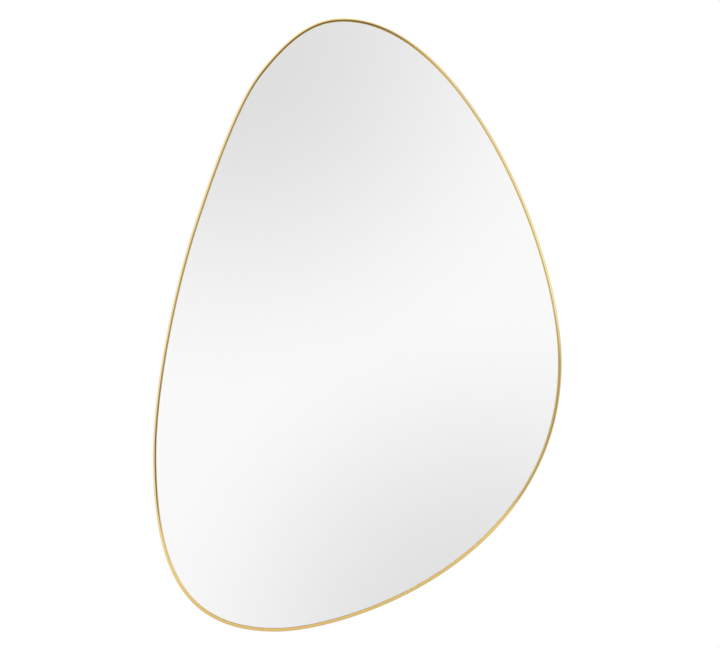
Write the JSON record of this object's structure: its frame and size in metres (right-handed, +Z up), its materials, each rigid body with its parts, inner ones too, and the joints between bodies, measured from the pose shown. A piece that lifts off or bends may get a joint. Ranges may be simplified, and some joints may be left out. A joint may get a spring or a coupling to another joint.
{
  "type": "irregular shaped mirror",
  "caption": "Pebble-shaped wall mirror in a thin polished brass frame, on a fibreboard back with swinging D-ring hangers and rubber wall bumpers.",
  "frame": {"origin": "on the wall plane, midway between the points where the two wall hooks bear in the D-rings, in line with the mirror's balance", "axes": "+Z up, +Y into the wall, +X to the right of someone who looks into the mirror, which faces -Y"},
  "size_m": [0.5999, 0.028, 0.8999],
  "materials": {
    "brass": "polished brass plating",
    "mirror": "silvered float glass",
    "film": "matt safety film",
    "foam": "white foam tape",
    "board": "raw fibreboard",
    "zinc": "bright zinc plating",
    "rubber": "matt black rubber"
  },
  "bodies": {
    "mirror": {"frame_band": "brass", "mirror_glass": "mirror", "safety_film": "film", "foam_tape_1": "foam", "foam_tape_2": "foam", "foam_tape_3": "foam", "foam_tape_4": "foam", "foam_tape_5": "foam", "backing_board": "board", "fixing_tab_1": "zinc", "fixing_tab_2": "zinc", "fixing_tab_3": "zinc", "fixing_tab_4": "zinc", "fixing_tab_5": "zinc", "fixing_tab_6": "zinc", "fixing_tab_7": "zinc", "fixing_tab_8": "zinc", "tab_screw_1": "zinc", "tab_screw_2": "zinc", "tab_screw_3": "zinc", "tab_screw_4": "zinc", "tab_screw_5": "zinc", "tab_screw_6": "zinc", "tab_screw_7": "zinc", "tab_screw_8": "zinc", "hanger_strap_left": "zinc", "hanger_strap_right": "zinc", "hanger_screw_left_1": "zinc", "hanger_screw_left_2": "zinc", "hanger_screw_right_1": "zinc", "hanger_screw_right_2": "zinc", "wall_bumper_upper_right": "rubber", "wall_bumper_lower_right": "rubber", "wall_bumper_lower_left": "rubber", "wall_bumper_upper_left": "rubber"},
    "ring_left": {"d_ring_left": "zinc"},
    "ring_right": {"d_ring_right": "zinc"}
  },
  "joints": [
    {"name": "ring_left_swing", "type": "hinge", "parent": "mirror", "child": "ring_left", "pos_m": [-0.12, -0.00335, -0.01575], "axis": [-1, 0, 0], "range_deg": [0, 175]},
    {"name": "ring_right_swing", "type": "hinge", "parent": "mirror", "child": "ring_right", "pos_m": [0.12, -0.00335, -0.01575], "axis": [-1, 0, 0], "range_deg": [0, 175]}
  ]
}
